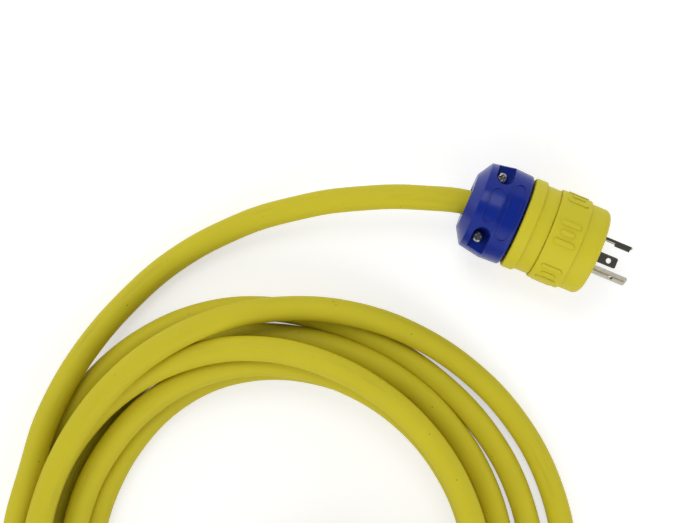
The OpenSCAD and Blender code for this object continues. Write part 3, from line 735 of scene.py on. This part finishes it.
class SHORECORD_OT_seals(bpy.types.Operator):
    """Finish the rubber seals round the jacket"""

    bl_idname = "shore_cord.seals"
    bl_label = "Seals"

    def execute(self, context):
        # Moulded nitrile rubber: black and dusty, hardly any shine
        rubber = moulded_surface(
            "seal_moulded_rubber", settings().mouldings.seal, roughness=0.62, grain_mm=0.6,
            grain_depth=0.04,
        )
        cover(rubber, *both_ends("seal"))
        return {"FINISHED"}


# ---- the stage ----


class SHORECORD_OT_stage(bpy.types.Operator):
    """Set the camera, the soft lights and the white table"""

    bl_idname = "shore_cord.stage"
    bl_label = "Stage"

    def execute(self, context):
        values = settings().stage
        scene = context.scene
        camera = bpy.data.objects.new("camera", bpy.data.cameras.new("camera"))
        camera.data.lens = values.lens
        camera.data.clip_start, camera.data.clip_end = 0.01, 20
        camera.matrix_world = (
            Matrix.Translation(values.camera)
            @ Matrix.Rotation(values.heading, 4, "Z")
            @ Matrix.Rotation(values.tilt, 4, "X")
        )
        scene.collection.objects.link(camera)
        scene.camera = camera
        scene.view_settings.view_transform = "Standard"

        for name, across, power, place in (
            ("softbox", 0.8, values.lamp_power, Vector((-0.55, 0.55, 1.45))),
            ("fill", 1.2, values.fill_power, Vector((0.75, -1.2, 0.8))),
        ):
            lamp = bpy.data.lights.new(name, "AREA")
            lamp.shape, lamp.size, lamp.energy = "DISK", across, power
            light = bpy.data.objects.new(name, lamp)
            light.location = place
            light.rotation_euler = (LAMP_AIM - place).to_track_quat("-Z", "Y").to_euler()
            scene.collection.objects.link(light)

        room = bpy.data.worlds.new("room")
        room.use_nodes = True
        room.node_tree.nodes.clear()
        direction = add_node(room, "ShaderNodeTexCoord").outputs["Generated"]
        # Pale walls, and a dark ceiling round a point nearly overhead
        overhead = add_node(
            room, "ShaderNodeVectorMath", {0: direction, 1: CEILING_MIDDLE},
            operation="DOT_PRODUCT",
        ).outputs["Value"]
        walls = add_node(
            room, "ShaderNodeMapRange",
            {"Value": overhead, "From Min": math.cos(CEILING_PALE),
             "From Max": math.cos(CEILING_DARK), "To Min": values.ambient,
             "To Max": values.ceiling},
        ).outputs["Result"]
        paths = add_node(room, "ShaderNodeLightPath")
        seen = add_node(
            room, "ShaderNodeMath", {0: paths.outputs["Is Camera Ray"], 1: walls},
            operation="MAXIMUM",
        ).outputs["Value"]
        sky = add_node(
            room, "ShaderNodeBackground", {"Color": (1, 1, 1, 1), "Strength": seen}
        )
        add_node(room, "ShaderNodeOutputWorld", {"Surface": sky.outputs["Background"]})
        scene.world = room

        mesh = bpy.data.meshes.new("table")
        far = TABLE_REACH
        corners = [(-far, -far, 0), (far, -far, 0), (far, far, 0), (-far, far, 0)]
        mesh.from_pydata(corners, [], [(0, 1, 2, 3)])
        table = bpy.data.objects.new("table", mesh)
        mesh.materials.append(white_table(values.floor, values.glow))
        scene.collection.objects.link(table)
        return {"FINISHED"}


class SHORECORD_PT_panel(bpy.types.Panel):
    """Lists the cord's settings and pieces"""

    bl_idname = "SHORECORD_PT_panel"
    bl_label = "Shore Power Cord"
    bl_space_type = "VIEW_3D"
    bl_region_type = "UI"
    bl_category = "Shore Cord"

    def draw(self, context):
        for group in ("jacket", "mouldings", "metals", "stage"):
            box = self.layout.box()
            box.label(text=group.title())
            values = getattr(settings(), group)
            for name in values.__annotations__:
                box.prop(values, name)
        for operator in OPERATORS:
            self.layout.operator(operator.bl_idname)


OPERATORS = (
    SHORECORD_OT_stage, SHORECORD_OT_cord, SHORECORD_OT_grips, SHORECORD_OT_shells,
    SHORECORD_OT_carriers, SHORECORD_OT_blades, SHORECORD_OT_contacts, SHORECORD_OT_fasteners,
    SHORECORD_OT_wiring, SHORECORD_OT_seals,
)
GROUPS = (
    ShoreCordJacket, ShoreCordMouldings, ShoreCordMetals, ShoreCordStage, ShoreCordSettings
)


def register():
    for made in (*GROUPS, *OPERATORS, SHORECORD_PT_panel):
        bpy.utils.register_class(made)
    bpy.types.Scene.shore_cord = PointerProperty(type=ShoreCordSettings)


def unregister():
    del bpy.types.Scene.shore_cord
    for made in reversed((*GROUPS, *OPERATORS, SHORECORD_PT_panel)):
        bpy.utils.unregister_class(made)


def main():
    register()
    bpy.ops.shore_cord.stage()
    bpy.ops.shore_cord.cord()
    bpy.ops.shore_cord.grips()
    bpy.ops.shore_cord.shells()
    bpy.ops.shore_cord.carriers()
    bpy.ops.shore_cord.blades()
    bpy.ops.shore_cord.contacts()
    bpy.ops.shore_cord.fasteners()
    bpy.ops.shore_cord.wiring()
    bpy.ops.shore_cord.seals()


if __name__ == "__main__":
    main()
